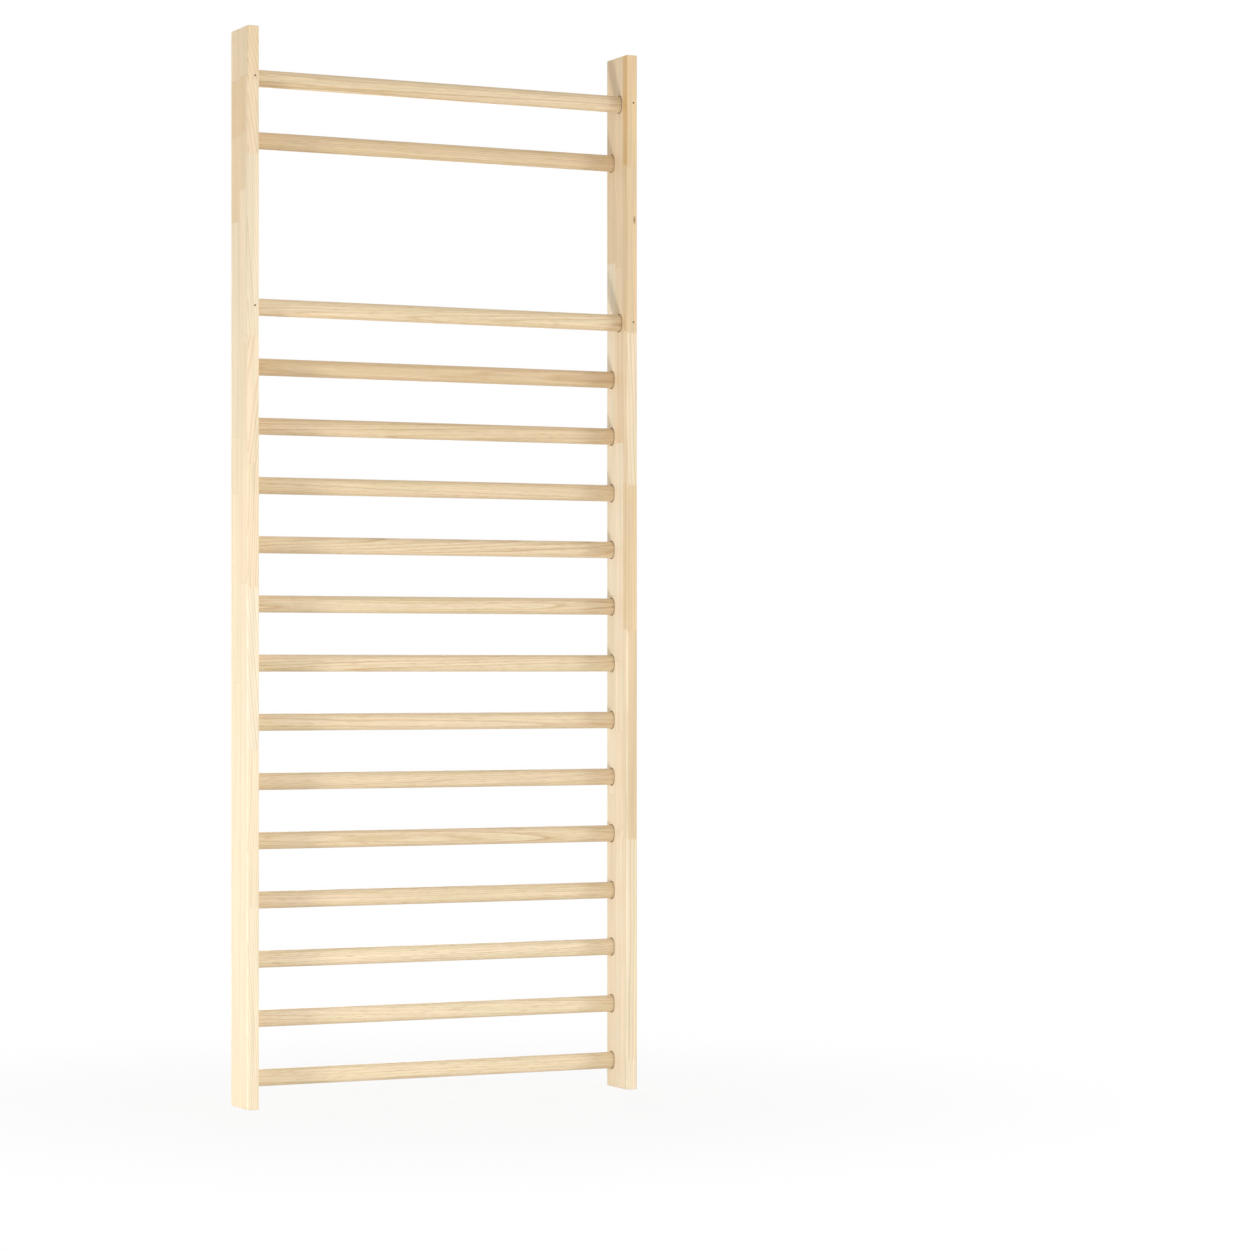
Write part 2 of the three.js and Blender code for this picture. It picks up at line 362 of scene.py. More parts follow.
# For each stave from the front edge to the back, its pieces from the foot up: the height where a piece
# starts, how far its grain leans sideways for each metre up, how wide its rings are and how dark its wood
# is. Some have more: how much darker they are at the plank's inner face, which is partly the wood's own
# tone and partly painted light, lighter lower down and darker near the top, and how much darker along the
# arris of that face and the front edge, where the negative values paint a highlight
LEFT_STAVES = (
    ((-0.100, 0.06, 0.0050, 0.16), (0.470, -0.04, 0.0042, 0.25), (0.830, 0.10, 0.0060, 0.08),
     (1.205, -0.06, 0.0048, 0.34, 0.16), (1.491, -0.18, 0.0060, 0.33), (1.783, 0.08, 0.0055, 0.22),
     (2.205, 0.14, 0.0062, 0.45), (2.376, 0.26, 0.0080, 0.58)),
    ((-0.220, 0.02, 0.0062, 0.25), (0.620, -0.03, 0.0045, 0.22), (1.208, 0.04, 0.0070, 0.34),
     (1.545, 0.03, 0.0056, 0.36), (1.763, -0.02, 0.0052, 0.33), (2.120, 0.02, 0.0060, 0.60),
     (2.252, 0.03, 0.0064, 0.78), (2.382, -0.05, 0.0050, 0.48)),
    ((-0.050, -0.03, 0.0055, 0.25), (0.350, 0.05, 0.0068, 0.25), (0.980, 0.02, 0.0046, 0.27),
     (1.418, 0.04, 0.0054, 0.34), (1.548, -0.04, 0.0060, 0.32), (2.048, 0.03, 0.0072, 0.68),
     (2.246, -0.02, 0.0056, 0.80), (2.376, 0.03, 0.0066, 0.52)),
)
RIGHT_STAVES = (
    ((-0.300, 0.02, 0.0052, 0.20, -0.20, -0.10), (0.075, -0.02, 0.0064, 0.33, -0.20, -0.35),
     (0.605, 0.02, 0.0046, 0.76, -0.47, -0.70), (1.108, -0.01, 0.0056, 0.80, -0.10, -0.15),
     (1.461, 0.03, 0.0070, 0.38, 0.08), (1.829, -0.02, 0.0044, 0.80, 0.05),
     (2.229, 0.02, 0.0058, 0.93, 0.45)),
    ((-0.150, 0.03, 0.0048, 0.06), (0.620, -0.04, 0.0066, 0.20), (0.860, 0.02, 0.0054, 0.08),
     (1.030, 0.05, 0.0046, 0.12), (1.302, -0.03, 0.0070, 0.00), (1.560, 0.04, 0.0058, 0.60),
     (1.985, 0.03, 0.0048, 0.72), (2.172, -0.02, 0.0066, 0.64)),
    ((-0.080, -0.02, 0.0060, 0.28), (0.705, 0.05, 0.0048, 0.08), (0.890, -0.04, 0.0068, 0.30),
     (1.190, 0.03, 0.0056, 0.10), (1.304, -0.03, 0.0050, 0.22), (1.718, 0.02, 0.0058, 0.17),
     (1.998, 0.02, 0.0052, 0.78), (2.240, -0.03, 0.0062, 0.70)),
)
FACTS_OF_A_PIECE = 6  # three on its growth, then its three darknesses


def piece_facts(finish, height, staves, past_glue_lines):
    """The facts of the piece at a height, as a vector of its start, lean and ring width and a vector of its
    three darknesses. In a stave they are the lowest piece's facts plus the change of facts at every joint
    below, and each glue line that is passed on the way to the back goes over to the next stave's."""
    facts_by_stave = []
    for pieces in staves:
        facts = np.zeros((len(pieces), FACTS_OF_A_PIECE))
        for order, piece in enumerate(pieces):
            facts[order, :len(piece)] = piece
        growth = facts[0, :3]
        shades = facts[0, 3:]
        for start, change in zip(facts[1:, 0], np.diff(facts, axis=0)):
            joint_passed = finish.math("GREATER_THAN", height, start)
            growth = finish.vectors("MULTIPLY_ADD", joint_passed, change[:3], growth)
            shades = finish.vectors("MULTIPLY_ADD", joint_passed, change[3:], shades)
        facts_by_stave.append((growth, shades))
    growth, shades = facts_by_stave[0]
    for past, (next_growth, next_shades) in zip(past_glue_lines, facts_by_stave[1:]):
        growth = finish.mix(past, growth, next_growth)
        shades = finish.mix(past, shades, next_shades)
    return growth, shades


def laminated_softwood(name, low, high, staves, glue_lines, knots, heartwood, seed):
    """Finger-jointed staves. A zigzag across the thickness moves the joints up and down, and glue shows in
    them and between the staves. Growth rings are the fractions of the distance to the piece's own leaning
    pith over the ring width. Fibres, streaks and broad bands are noise stretched along the grain, a knot
    darkens towards its core, and the sawn ends show darker end grain. From the mouths of the holes inwards
    the colour is darkened as painted shade of the holes and of the gaps round the bars. Near the inner face
    and along its arris by the front edge the colour is partly the wood's own tone and partly painted light:
    lighter as a painted highlight lower down and darker as painted shade near the top."""
    finish = Finish(bpy.data.materials.new(name))
    x, y, z = finish.parts(finish.place())
    across = finish.math("SUBTRACT", x, low[0])
    deep = finish.math("SUBTRACT", y, low[1])
    zigzag = finish.math("PINGPONG", across, FINGER_PITCH / 2)
    height = finish.math("MULTIPLY_ADD", zigzag, 2 * FINGER_LENGTH / FINGER_PITCH, z)
    height = finish.math("SUBTRACT", height, FINGER_LENGTH / 2)
    past_glue_lines = [finish.math("GREATER_THAN", deep, line) for line in glue_lines]
    growth, shades = piece_facts(finish, height, staves, past_glue_lines)
    start, lean, ring_width = finish.parts(growth)
    darkness, inner_tone_and_painted_light, arris_painted_highlight = finish.parts(shades)

    inner_face = min(low[0], high[0], key=abs)
    from_inner = finish.math("ABSOLUTE", finish.math("SUBTRACT", x, inner_face))
    from_arris = finish.length(finish.vector(from_inner, deep, 0.0))
    # Partly the wood's own tone and partly painted light: the front stave is lightened at the inner face and
    # along its arris as a painted highlight lower down, and darkened near the top as painted shade
    inner_tone_and_light_mask = finish.rise(from_inner, INNER_TONE_AND_LIGHT_DEPTH, 0.0, 1.0)
    arris_highlight_mask = finish.rise(from_arris, ARRIS_HIGHLIGHT_REACH, 0.0, 1.0)
    darkness = finish.math("MULTIPLY_ADD", inner_tone_and_painted_light, inner_tone_and_light_mask, darkness)
    darkness = finish.math("MULTIPLY_ADD", arris_painted_highlight, arris_highlight_mask, darkness)
    solid = finish.math("GREATER_THAN", height, finish.math("ADD", start, GLUE_WIDTH))
    for line in glue_lines:
        from_line = finish.math("ABSOLUTE", finish.math("SUBTRACT", deep, line))
        solid = finish.math("MULTIPLY", solid, finish.math("GREATER_THAN", from_line, GLUE_WIDTH / 2))

    stave = finish.math("ADD", *past_glue_lines)
    piece_number = finish.math("MULTIPLY_ADD", start, HEIGHT_STEP, seed)
    piece_number = finish.math("MULTIPLY_ADD", stave, STAVE_STEP, piece_number)
    distance, bearing, shift = finish.chance(piece_number)
    pith_distance = finish.spread(distance, *PITH_DISTANCE)
    pith_bearing = finish.spread(bearing, *PITH_BEARING)
    leaned = finish.math("MULTIPLY", lean, finish.math("SUBTRACT", z, start))
    from_pith_x = finish.math("MULTIPLY_ADD", finish.math("COSINE", pith_bearing), pith_distance, across)
    from_pith_x = finish.math("ADD", from_pith_x, leaned)
    from_pith_y = finish.math("MULTIPLY_ADD", finish.math("SINE", pith_bearing), pith_distance, deep)
    from_pith = finish.length(finish.vector(from_pith_x, from_pith_y, 0.0))
    shifted_x = finish.math("ADD", x, shift)
    slow_grain = finish.vector(shifted_x, y, finish.math("MULTIPLY", z, WANDER_STRETCH))
    wander = finish.spread(finish.noise(slow_grain, scale=9.0, detail=1.0), *RING_WANDER)
    ring_count = finish.math("DIVIDE", finish.math("ADD", from_pith, wander), ring_width)
    ring_strength = finish.chance(finish.math("FLOOR", ring_count))[0]
    late = finish.ramp(finish.math("FRACT", ring_count), LATEWOOD_IN_RING)
    late = finish.math("MULTIPLY", late, finish.spread(ring_strength, *RING_STRENGTH))

    long_z = finish.math("MULTIPLY", z, GRAIN_STRETCH)
    long_grain = finish.vector(shifted_x, y, long_z)
    crossed_grain = finish.vector(y, shifted_x, long_z)
    fibres = finish.noise(long_grain, scale=1500.0, detail=2.0)
    streaks = finish.noise(long_grain, scale=110.0, detail=2.0)
    tint = finish.spread(finish.noise(long_grain, scale=55.0, detail=1.0), *TINT_RANGE)
    broad_bands = finish.noise(crossed_grain, scale=48.0, detail=1.0)
    heartwood_share = finish.math("MULTIPLY", darkness, HEARTWOOD_SHARE)
    wood = finish.mix(heartwood_share, opaque(EARLYWOOD), opaque(heartwood))
    wood = finish.mix(finish.math("MULTIPLY", late, LATEWOOD_SHARE), wood, opaque(LATEWOOD))
    wood = finish.vectors("MULTIPLY", wood, finish.mix(tint, opaque(YELLOW_TINT), opaque(PINK_TINT)))
    wood = finish.scaled(wood, finish.spread(fibres, *FIBRE_SHADES))
    wood = finish.scaled(wood, finish.spread(streaks, *STREAK_SHADES))
    wood = finish.scaled(wood, finish.spread(broad_bands, *BAND_SHADES))
    for knot_across, knot_height in knots:
        aside = finish.math("SUBTRACT", across, knot_across)
        above = finish.math("SUBTRACT", z, knot_height)
        shortened = finish.math("MULTIPLY", above, KNOT_SLIMNESS)
        behind_stave = finish.math("MULTIPLY", past_glue_lines[0], KNOT_RADIUS)
        from_knot = finish.length(finish.vector(aside, shortened, behind_stave))
        knot_share = finish.rise(from_knot, KNOT_RADIUS, KNOT_CORE, KNOT_SHARE)
        wood = finish.mix(knot_share, wood, opaque(KNOT_COLOUR))
    wood = finish.mix(solid, opaque(GLUE_COLOUR), wood)
    up_facing = finish.parts(finish.node("TexCoord", {}).outputs["Normal"])[2]
    up_share = finish.math("MULTIPLY", up_facing, up_facing)
    end_grain = finish.math("MULTIPLY", up_share, END_GRAIN_SHARE)
    wood = finish.mix(end_grain, wood, opaque(heartwood))
    # painted shade: the holes' walls and a thin ring round their mouths are darkened where shade falls in
    # them
    painted_hole_shade = finish.attribute("painted_hole_shade", "Fac")
    wood = finish.mix(finish.rise(painted_hole_shade, 0.0, 1.0, PAINTED_HOLE_SHADE_SHARE), wood, opaque(PAINTED_HOLE_SHADE_COLOUR))
    relief = finish.math("MULTIPLY_ADD", late, 0.5, finish.math("MULTIPLY", fibres, 0.5))
    finish.feed(finish.nodes["Principled BSDF"], {
        "Base Color": wood,
        "Roughness": finish.spread(streaks, *LACQUER_ROUGHNESS),
        "Normal": finish.bump(relief),
        "IOR": 1.45,
        "Specular IOR Level": 0.3,
    })
    return finish.owner


bar_names = sorted(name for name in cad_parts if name.startswith("bar_") and not name.endswith("_pin"))
bar_boxes = [node_box(name) for name in bar_names]
bar_centres = [(low + high) / 2 for low, high in bar_boxes]
patch_place = np.linspace(-1, 1, PATCH_ROWS + 1)
patch_rise = PATCH_HALF_HEIGHT * (PATCH_EVENNESS * patch_place + (1 - PATCH_EVENNESS) * patch_place ** 3)


def upright_holes(side, low, high, socket_side):
    """The socket and the pin hole for each bar in one upright. The bars' patches follow one another up the
    plank, a socket fills its face's columns, and a pin hole those of the edge that its pin is nearer to."""
    first_column = np.cumsum([0, EDGE_STEPS, FACE_STEPS, EDGE_STEPS]) + ARRIS_STEPS * np.arange(4)
    inner_x = high[0] if socket_side == RIGHT_FACE else low[0]
    holes = []
    for order, name in enumerate(bar_names):
        bar_low, bar_high = bar_boxes[order]
        bar_depth = bar_high[1] - bar_low[1]
        bar_height = bar_high[2] - bar_low[2]
        centre = bar_centres[order]
        first_row = END_STEPS + 1 + order * (PATCH_ROWS + 1)
        rows = (first_row, first_row + PATCH_ROWS)
        holes.append({
            "rows": rows,
            "columns": (first_column[socket_side], first_column[socket_side] + FACE_STEPS),
            "centre": np.array([inner_x, centre[1], centre[2]]),
            "radius": bar_depth / 2 + SOCKET_CLEARANCE,
            "half_flat": (bar_height - bar_depth) / 2,
            "profile": hole_profile(
                high[0] - low[0] - SOCKET_WALL, SOCKET_MOUTH_ROUNDING, SOCKET_FLOOR_ROUNDING),
            "painted_hole_shade": SOCKET_PAINTED_SHADE,
        })
        pin_low, pin_high = node_box(f"{name}_{side}_pin")
        from_front = pin_low[1] - low[1] < high[1] - pin_high[1]
        pin_side = FRONT_EDGE if from_front else BACK_EDGE
        edge_y = low[1] if from_front else high[1]
        holes.append({
            "rows": rows,
            "columns": (first_column[pin_side], first_column[pin_side] + EDGE_STEPS),
            "centre": np.array([(pin_low[0] + pin_high[0]) / 2, edge_y, centre[2]]),
            "radius": (pin_high[0] - pin_low[0]) / 2 + PIN_CLEARANCE,
            "half_flat": 0.0,
            "profile": hole_profile(
                PIN_SINK + PIN_HEAD_HEIGHT + PIN_CLEARANCE, PIN_HOLE_ROUNDING, PIN_HOLE_ROUNDING),
            "painted_hole_shade": PIN_HOLE_PAINTED_SHADE,
        })
    return holes


for side, socket_side, staves, glue_lines, knots, heartwood, seed in (
    ("left", RIGHT_FACE, LEFT_STAVES, LEFT_GLUE_LINES, (), LEFT_HEARTWOOD, LEFT_SEED),
    ("right", LEFT_FACE, RIGHT_STAVES, RIGHT_GLUE_LINES, RIGHT_KNOTS, RIGHT_HEARTWOOD, RIGHT_SEED),
):
    low, high = node_box(f"{side}_upright")
    half_sizes = (high[:2] - low[:2]) / 2
    loop = rounded_loop(half_sizes, ARRIS_RADIUS, (EDGE_STEPS, FACE_STEPS), ARRIS_STEPS)
    stations = np.concatenate([centre[2] + patch_rise for centre in bar_centres])
    points, normals = carried_rod(loop, ARRIS_RADIUS, low[2], high[2], stations, END_ROUNDING)
    points[..., :2] += (low[:2] + high[:2]) / 2
    holes = upright_holes(side, low, high, socket_side)
    points, normals, faces, painted_hole_shade = pierced_skin(points, normals, holes)
    softwood = laminated_softwood(
        f"laminated_softwood_{side}", low, high, staves, glue_lines, knots, heartwood, seed)
    upright = shaped_piece(f"laminated_upright_{side}", points, normals, faces, softwood)
    upright.data.attributes.new("painted_hole_shade", "FLOAT", "POINT").data.foreach_set("value", painted_hole_shade)
    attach(upright, "root")
    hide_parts(f"{side}_upright")


# The bars are sixteen oval rods of a darker ring-porous hardwood, moulded in one pass, sanded and lacquered.
# Each end is eased and pushed into its socket. Two bars stand further forward than the rest, for hanging.
BAR_END_ROUNDING = 0.0015
BAR_ARC_STEPS = 12
BAR_FLAT_STEPS = 4
BAR_STATIONS = 24
BAR_RING_WIDTH = 0.0042
BAR_RING_WANDER = (-0.007, 0.007)
BAR_RING_STRENGTH = (0.15, 1.0)
PORES_IN_RING = ((0.00, 0.55), (0.08, 1.00), (0.28, 0.45), (0.70, 0.05), (0.96, 0.12), (1.00, 0.55))
BAR_WANDER_STRETCH = 0.12      # how much slower the rings wander along the grain than across it
BAR_GRAIN_STRETCH = 0.02       # the same for fibres, pores and streaks
BAR_FLECK_STRETCH = 0.07
BAR_FIBRE_SHADES = (0.96, 1.04)
BAR_STREAK_SHADES = (0.86, 1.12)
FLECK_NOISE = (0.52, 0.72)     # the noise at which a fleck begins and is full
FLECK_SHARE = 0.45             # of the latewood's colour in a full fleck
PORE_NOISE = 0.58              # the noise past which a fibre is an open pore
PORE_SHARE = 0.60              # of the pores' colour where they are densest
LATE_BY_DARKNESS = 0.45        # shares of the latewood's colour for a bar whose darkness is 1,
LATE_BY_RING = 0.55            # and for the most porous ring
# of the painted shade's colour on a bar's end inside its socket, where the gap lies in shade
SOCKET_GAP_SHADE_SHARE = 0.85
BAR_LACQUER_ROUGHNESS = (0.36, 0.52)
BAR_EARLYWOOD = (0.955, 0.815, 0.595)
BAR_LATEWOOD = (0.600, 0.400, 0.200)
BAR_PORES = (0.430, 0.280, 0.140)
BAR_YELLOW_TINT = (0.990, 1.000, 0.940)
BAR_PINK_TINT = (1.015, 0.985, 0.985)
SOCKET_GAP_SHADE_EDGE = 0.0003       # half the width over which the painted shade of the gap round a bar begins at a socket's mouth
BAR_PITH_DISTANCE = (0.020, 0.090)
BAR_LEAN = 0.030               # at most, sideways for each metre along the bar
LOG_SPACING = 1.7              # from one bar's place along the log to the next one's
LOG_SEED = 7

# How dark the wood of each bar is, from the lowest up
BAR_DARKNESS = (
    0.24, 0.18, 0.10, 0.42, 0.47, 0.50, 0.45, 0.42, 0.55, 0.57, 0.68, 0.87, 1.14, 0.55, 1.00, 0.70,
)


def ring_porous_hardwood(name, socket_start):
    """Every bar carries its own place in a log as an attribute, first along the log and then across it from
    the pith. Growth rings are the fractions of the distance to the pith over the ring width, and open
    pores are thin dashes of stretched noise in the early part of each ring. Past the mouths of the sockets
    the wood is darkened as painted shade of the gap between the bar and its socket."""
    finish = Finish(bpy.data.materials.new(name))
    along, across, up = finish.parts(finish.attribute("place_in_log", "Vector"))
    darkness = finish.attribute("bar_darkness", "Fac")
    slow_grain = finish.vector(finish.math("MULTIPLY", along, BAR_WANDER_STRETCH), across, up)
    wander = finish.spread(finish.noise(slow_grain, scale=14.0, detail=2.0), *BAR_RING_WANDER)
    from_pith = finish.length(finish.vector(0.0, across, up))
    ring_count = finish.math("DIVIDE", finish.math("ADD", from_pith, wander), BAR_RING_WIDTH)
    ring_strength = finish.chance(finish.math("FLOOR", ring_count))[0]
    early = finish.ramp(finish.math("FRACT", ring_count), PORES_IN_RING)
    early = finish.math("MULTIPLY", early, finish.spread(ring_strength, *BAR_RING_STRENGTH))

    long_grain = finish.vector(finish.math("MULTIPLY", along, BAR_GRAIN_STRETCH), across, up)
    short_grain = finish.vector(finish.math("MULTIPLY", along, BAR_FLECK_STRETCH), across, up)
    fibres = finish.noise(long_grain, scale=1400.0, detail=2.0)
    streaks = finish.noise(long_grain, scale=180.0, detail=2.0)
    tint = finish.spread(finish.noise(long_grain, scale=90.0, detail=1.0), *TINT_RANGE)
    fleck_noise = finish.noise(short_grain, scale=420.0, detail=2.0)
    flecks = finish.rise(fleck_noise, *FLECK_NOISE, FLECK_SHARE)
    pore_dashes = finish.math("GREATER_THAN", fibres, PORE_NOISE)
    pores = finish.math("MULTIPLY", finish.math("MULTIPLY", pore_dashes, early), PORE_SHARE)
    late_share = finish.math("MULTIPLY", early, LATE_BY_RING)
    late_share = finish.math("MULTIPLY_ADD", darkness, LATE_BY_DARKNESS, late_share)
    wood = finish.mix(late_share, opaque(BAR_EARLYWOOD), opaque(BAR_LATEWOOD))
    wood = finish.mix(flecks, wood, opaque(BAR_LATEWOOD))
    wood = finish.mix(pores, wood, opaque(BAR_PORES))
    wood = finish.vectors("MULTIPLY", wood, finish.mix(tint, opaque(BAR_YELLOW_TINT), opaque(BAR_PINK_TINT)))
    wood = finish.scaled(wood, finish.spread(fibres, *BAR_FIBRE_SHADES))
    wood = finish.scaled(wood, finish.spread(streaks, *BAR_STREAK_SHADES))
    x = finish.parts(finish.place())[0]
    # painted shade: the bar's end darkens from just before the socket's mouth, standing in for the shadow in
    # the gap
    in_socket = finish.math("SUBTRACT", finish.math("ABSOLUTE", x), socket_start)
    painted_gap_shade = finish.rise(in_socket, -SOCKET_GAP_SHADE_EDGE, SOCKET_GAP_SHADE_EDGE, SOCKET_GAP_SHADE_SHARE)
    wood = finish.mix(painted_gap_shade, wood, opaque(PAINTED_HOLE_SHADE_COLOUR))
    relief = finish.math("SUBTRACT", finish.math("MULTIPLY", fibres, 0.4), pores)
    finish.feed(finish.nodes["Principled BSDF"], {
        "Base Color": wood,
        "Roughness": finish.spread(streaks, *BAR_LACQUER_ROUGHNESS),
        "Normal": finish.bump(relief),
        "IOR": 1.48,
        "Specular IOR Level": 0.3,
    })
    return finish.owner


hardwood = ring_porous_hardwood("ring_porous_hardwood", node_box("right_upright")[0][0])
draws = np.random.default_rng(LOG_SEED)
for order, name in enumerate(bar_names):
    low, high = bar_boxes[order]
    half_sizes = (high[1:] - low[1:]) / 2
    loop = rounded_loop(half_sizes, half_sizes[0], (0, BAR_FLAT_STEPS), BAR_ARC_STEPS)
    stations = np.linspace(low[0], high[0], BAR_STATIONS)[1:-1]
    points, normals = carried_rod(loop, half_sizes[0], low[0], high[0], stations, BAR_END_ROUNDING)
    points = np.roll(points, 1, axis=2)
    normals = np.roll(normals, 1, axis=2)
    points[..., 1:] += bar_centres[order][1:]
    points, normals, faces, _ = pierced_skin(points, normals, [])
    bar = shaped_piece(f"oval_bar_{name[-2:]}", points, normals, faces, hardwood)
    bearing = draws.uniform(0, 2 * math.pi)
    pith_distance = draws.uniform(*BAR_PITH_DISTANCE)
    lean = draws.uniform(-BAR_LEAN, BAR_LEAN, 2)
    from_pith = points[:, 1:] - bar_centres[order][1:] + np.outer(points[:, 0], lean)
    from_pith += pith_distance * np.array([math.cos(bearing), math.sin(bearing)])
    in_log = np.column_stack([points[:, 0] + LOG_SPACING * order, from_pith])
    place_in_log = bar.data.attributes.new("place_in_log", "FLOAT_VECTOR", "POINT")
    place_in_log.data.foreach_set("vector", in_log.ravel())
    bar_darkness = bar.data.attributes.new("bar_darkness", "FLOAT", "POINT")
    bar_darkness.data.foreach_set("value", np.full(len(points), BAR_DARKNESS[order]))
    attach(bar, "root")
    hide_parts(name)


# The pins are lost-head steel nails, driven through the nearer edge of an upright into the end of a bar and
# punched a little below the surface. The drawn wire has a small domed head and a ground point.
PIN_SHANK_RADIUS = 0.00125
PIN_POINT_LENGTH = 0.005
PIN_POINT_RADIUS = 0.0001
PIN_DOME_HEIGHT = 0.0004
PIN_DOME_MIDDLE = 0.1          # the flat middle of the dome, as a share of its radius
PIN_DOME_STEPS = 5
PIN_EDGE_ROUNDING = 0.0003
PIN_COLUMNS = 24
PIN_STEEL = (0.170, 0.120, 0.075)
PIN_SHADES = (0.7, 1.2)
PIN_ROUGHNESS = (0.38, 0.60)


def drawn_steel(name):
    """Dull wire: metal whose roughness and colour vary with a fine noise."""
    finish = Finish(bpy.data.materials.new(name))
    patches = finish.noise(finish.place(), scale=900.0, detail=3.0)
    finish.feed(finish.nodes["Principled BSDF"], {
        "Base Color": finish.scaled(PIN_STEEL, finish.spread(patches, *PIN_SHADES)),
        "Metallic": 1.0,
        "Roughness": finish.spread(patches, *PIN_ROUGHNESS),
    })
    return finish.owner


def pin_profile(length, head_radius):
    """Rows of distance along the pin and radius, from the point to the middle of the head: a straight cone,
    the shank, a short neck under the head, the head with a quarter round on its rim, and a low dome."""
    angle = np.linspace(0, math.pi / 2, ROUNDING_STEPS + 1)
    rim = np.column_stack([
        length - PIN_DOME_HEIGHT - PIN_EDGE_ROUNDING * (1 - np.sin(angle)),
        head_radius - PIN_EDGE_ROUNDING * (1 - np.cos(angle)),
    ])
    inward = np.linspace(0, 1, PIN_DOME_STEPS + 1)[1:]
    dome = np.column_stack([
        length - PIN_DOME_HEIGHT * (1 - inward) ** 2,
        (head_radius - PIN_EDGE_ROUNDING) * (1 - (1 - PIN_DOME_MIDDLE) * inward),
    ])
    neck = length - PIN_HEAD_HEIGHT
    shaft = np.array([
        (0.0, PIN_POINT_RADIUS),
        (PIN_POINT_LENGTH, PIN_SHANK_RADIUS),
        (neck - PIN_EDGE_ROUNDING, PIN_SHANK_RADIUS),
        (neck, head_radius),
    ])
    return np.vstack([shaft, rim, dome])


def turned_pin(profile, columns):
    """A profile turned round the upward axis, as a grid of points and a grid of normals. A normal is square
    to the profile's own direction: its part away from the axis is the direction's advance, and its part
    along the axis is the direction's growth, reversed."""
    around = np.linspace(0, 2 * math.pi, columns, endpoint=False)
    circle = np.column_stack([np.cos(around), np.sin(around)])
    direction = np.gradient(profile, axis=0)
    direction /= np.linalg.norm(direction, axis=1, keepdims=True)
    along, radius = profile.T[:, :, None, None]
    advance, growth = direction.T[:, :, None, None]
    whole_row = np.ones((columns, 1))
    points = np.concatenate([radius * circle, along * whole_row], axis=2)
    normals = np.concatenate([advance * circle, -growth * whole_row], axis=2)
    return points, normals


steel = drawn_steel("drawn_steel")
for name in bar_names:
    for side in ("left", "right"):
        low, high = node_box(f"{name}_{side}_pin")
        middle = (low + high) / 2
        plank_low, plank_high = node_box(f"{side}_upright")
        profile = pin_profile(high[1] - low[1], (high[0] - low[0]) / 2)
        points, normals = turned_pin(profile, PIN_COLUMNS)
        if low[1] - plank_low[1] < plank_high[1] - high[1]:
            turn = np.array([(1, 0, 0), (0, 0, 1), (0, -1, 0)])  # driven from the front
            tip = np.array([middle[0], high[1], middle[2]])
        else:
            turn = np.array([(0, 0, 1), (1, 0, 0), (0, 1, 0)])   # driven from the back
            tip = np.array([middle[0], low[1], middle[2]])
        points, normals, faces, _ = pierced_skin(points @ turn + tip, normals @ turn, [])
        pin = shaped_piece(f"locking_pin_{name[-2:]}_{side}", points, normals, faces, steel)
        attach(pin, "root")
        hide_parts(f"{name}_{side}_pin")


# The floor is a plain dull disc of pale grey, on which the two uprights stand.
# It takes their soft shadow near the feet and fades into the white around.
FLOOR_RADIUS = 40.0
FLOOR_INNERMOST_RING = 0.02    # before the rings are gathered towards the middle by a cube
FLOOR_RINGS = 24
FLOOR_COLUMNS = 64
FLOOR_COLOUR = (0.80, 0.80, 0.79)
FLOOR_WHITE_SHARE = 0.88       # of what the camera sees of the floor near the feet
FLOOR_FADE_START = 0.5
FLOOR_FADE_END = 1.9
WHITE = (1.0, 1.0, 1.0)


def seen_rays(finish):
    """One for rays that show the background: straight from the camera, mirrored or through glass."""
    rays = finish.node("LightPath", {}).outputs
    mirrored = finish.math("MAXIMUM", rays["Is Glossy Ray"], rays["Is Transmission Ray"])
    return finish.math("MAXIMUM", rays["Is Camera Ray"], mirrored)


def pale_floor(name):
    """A dull pale surface mixed with plain white, whose share grows smoothly with the distance from the
    middle and counts only for rays that show the background."""
    finish = Finish(bpy.data.materials.new(name))
    dull = finish.nodes["Principled BSDF"]
    finish.feed(dull, {"Base Color": opaque(FLOOR_COLOUR), "Roughness": 0.9})
    white = finish.node("Emission", {"Color": opaque(WHITE), "Strength": 1.0})
    fade = finish.node("MapRange", {
        "Value": finish.length(finish.place()),
        "From Min": FLOOR_FADE_START,
        "From Max": FLOOR_FADE_END,
        "To Min": FLOOR_WHITE_SHARE,
        "To Max": 1.0,
    }, interpolation_type="SMOOTHSTEP").outputs["Result"]
    blended = finish.node("MixShader", {
        0: finish.math("MULTIPLY", fade, seen_rays(finish)),
        1: dull.outputs["BSDF"],
        2: white.outputs["Emission"],
    })
    finish.feed(finish.nodes["Material Output"], {"Surface": blended.outputs["Shader"]})
    return finish.owner


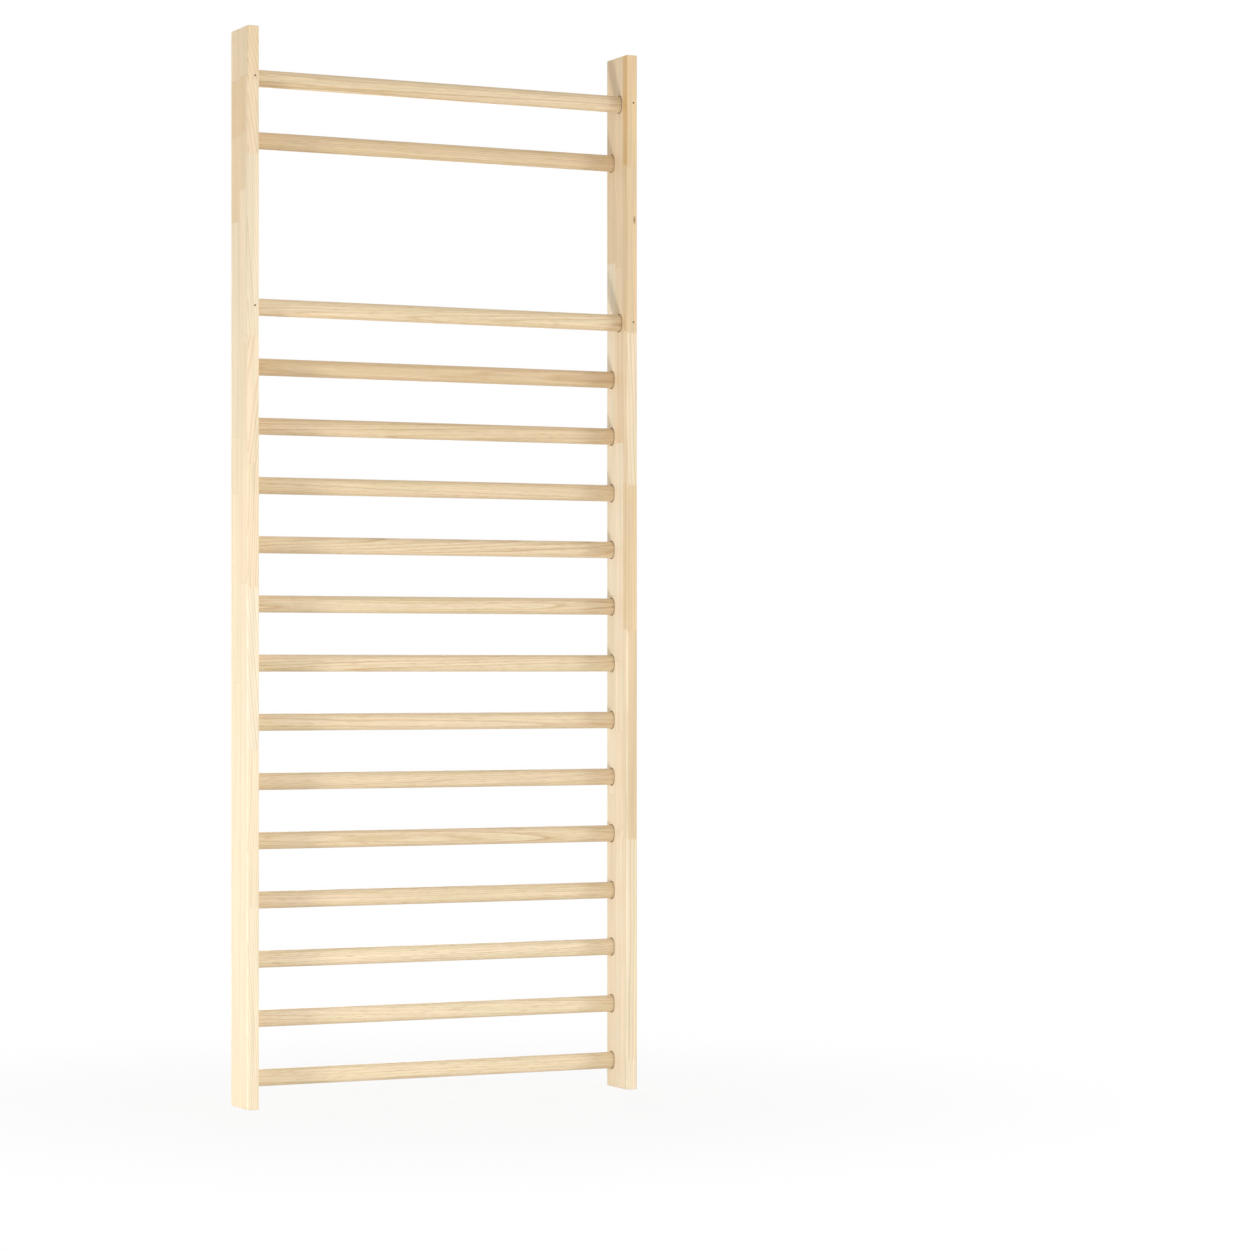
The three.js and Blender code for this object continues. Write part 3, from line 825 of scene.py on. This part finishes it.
ring_radius = FLOOR_RADIUS * np.linspace(1, FLOOR_INNERMOST_RING, FLOOR_RINGS) ** 3
turn_angle = np.linspace(0, 2 * math.pi, FLOOR_COLUMNS, endpoint=False)
disc = ring_radius[:, None, None] * np.column_stack([np.cos(turn_angle), np.sin(turn_angle)])
disc = np.dstack([disc, np.zeros(disc.shape[:2])])
disc_index = np.arange(FLOOR_RINGS * FLOOR_COLUMNS).reshape(FLOOR_RINGS, FLOOR_COLUMNS)
disc_next = np.roll(disc_index, -1, axis=1)
disc_quads = np.stack([disc_index[:-1], disc_next[:-1], disc_next[1:], disc_index[1:]], axis=-1)
floor = shaped_piece(
    "floor",
    disc.reshape(-1, 3),
    np.tile((0.0, 0.0, 1.0), (disc_index.size, 1)),
    disc_quads.reshape(-1, 4).tolist() + [disc_index[-1].tolist()],
    pale_floor("pale_floor"),
)


# The light is a white room, brighter at its walls than above and brightest in front on the right, with three
# lamps: a small one low and near on the left, whose shadows of the bars climb the right upright, a large one
# far off in front on the right, and one behind on the right.
WALL_LIGHT = 1.18              # from the sides of the room
CEILING_LIGHT = 0.27
FRONT_GAIN = 0.16              # how much brighter the front of the room is, and how much dimmer the back
RIGHT_GAIN = 0.22              # the same for its right and its left
LAMP_AIM = Vector((0.0, 0.0, 1.2))
LAMPS = {
    "left_lamp": {"place": Vector((-2.9, -1.0, 0.25)), "size": (0.4, 0.4), "watts": 40.0},
    "right_lamp": {"place": Vector((6.5, -5.2, 1.3)), "size": (2.2, 2.9), "watts": 173.0},
    "back_lamp": {"place": Vector((1.6, 4.6, 1.6)), "size": (1.6, 1.6), "watts": 55.0},
}

room = Finish(bpy.data.worlds.new("white_room"))
bpy.context.scene.world = room.owner
rightward, backward, upward = room.parts(room.node("TexCoord", {}).outputs["Generated"])
light = room.spread(room.math("ABSOLUTE", upward), WALL_LIGHT, CEILING_LIGHT)
wall_share = room.math("MULTIPLY_ADD", rightward, RIGHT_GAIN, 1.0)
wall_share = room.math("MULTIPLY_ADD", backward, -FRONT_GAIN, wall_share)
lighting = room.nodes["Background"]
room.feed(lighting, {"Color": opaque(WHITE), "Strength": room.math("MULTIPLY", light, wall_share)})
backdrop = room.node("Background", {"Color": opaque(WHITE), "Strength": 1.0})
shown = room.node("MixShader", {
    0: seen_rays(room), 1: lighting.outputs["Background"], 2: backdrop.outputs["Background"],
})
room.feed(room.nodes["World Output"], {"Surface": shown.outputs["Shader"]})

for name, lamp_facts in LAMPS.items():
    lamp_data = bpy.data.lights.new(name, "AREA")
    lamp_data.shape = "RECTANGLE"
    lamp_data.size, lamp_data.size_y = lamp_facts["size"]
    lamp_data.energy = lamp_facts["watts"]
    lamp = bpy.data.objects.new(name, lamp_data)
    lamp.location = lamp_facts["place"]
    lamp.rotation_euler = (LAMP_AIM - lamp_facts["place"]).to_track_quat("-Z", "Y").to_euler()
    lamp.visible_camera = False
    bpy.context.scene.collection.objects.link(lamp)


# The camera stands level at about waist height, well back and to the left of the bars, with a long lens.
# The lens is shifted upwards instead of tilted, so that the uprights stay upright in the picture.
CAMERA_PLACE = (-3.549131, -8.275744, 1.018086)
CAMERA_TURN = math.radians(-26.0387)
CAMERA_LENS = 109.106
CAMERA_SHIFT = 0.034574

camera_data = bpy.data.cameras.new("photo_camera")
camera_data.lens = CAMERA_LENS
camera_data.shift_y = CAMERA_SHIFT
camera = bpy.data.objects.new("photo_camera", camera_data)
camera.location = CAMERA_PLACE
camera.rotation_euler = (math.pi / 2, 0, CAMERA_TURN)
bpy.context.scene.collection.objects.link(camera)
bpy.context.scene.camera = camera
bpy.context.scene.view_settings.view_transform = "Standard"
